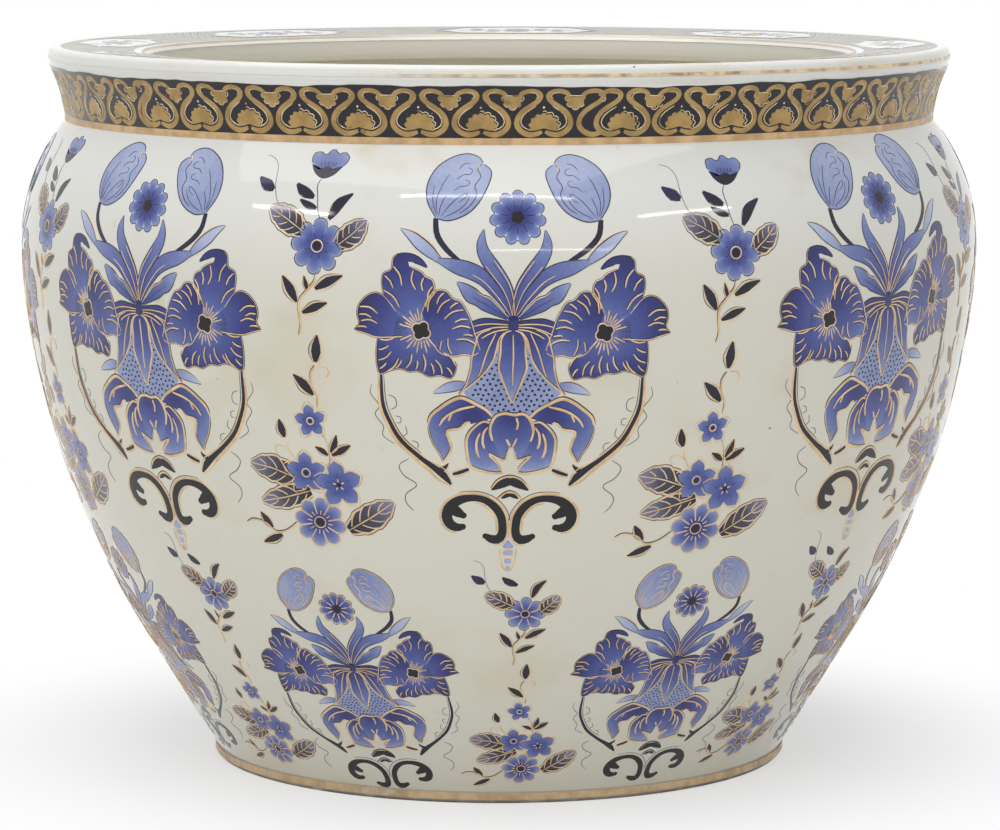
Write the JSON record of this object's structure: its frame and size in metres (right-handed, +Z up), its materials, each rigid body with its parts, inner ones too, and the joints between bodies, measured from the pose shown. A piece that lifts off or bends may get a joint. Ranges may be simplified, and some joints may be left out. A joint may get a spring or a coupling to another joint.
{
  "type": "porcelain fish bowl",
  "caption": "Round porcelain fish bowl with a narrow foot, full shoulder, short flared neck and flat inward rim, glazed white with floral enamel and gilt lines; holds water or a plant.",
  "frame": {"origin": "centre of the foot ring, on the floor", "axes": "+Z up along the bowl's axis, X and Y level; the pictured side faces -Y"},
  "size_m": [0.406, 0.406, 0.3036],
  "materials": {
    "porcelain": "gloss",
    "slip": "matte",
    "gilt": "satin",
    "enamel": "gloss"
  },
  "bodies": {
    "root": {"foot_ring": "porcelain", "floor_disc": "porcelain", "lower_wall": "porcelain", "upper_wall": "porcelain", "neck_collar": "porcelain", "rim_flange": "porcelain", "foot_slip": "slip", "floor_slip": "slip", "belly_slip": "slip", "neck_slip": "slip", "rim_slip": "slip", "foot_gilt": "gilt", "neck_gilt": "gilt", "rim_gilt": "gilt", "mouth_gilt": "gilt", "neck_enamel": "enamel"}
  },
  "joints": []
}
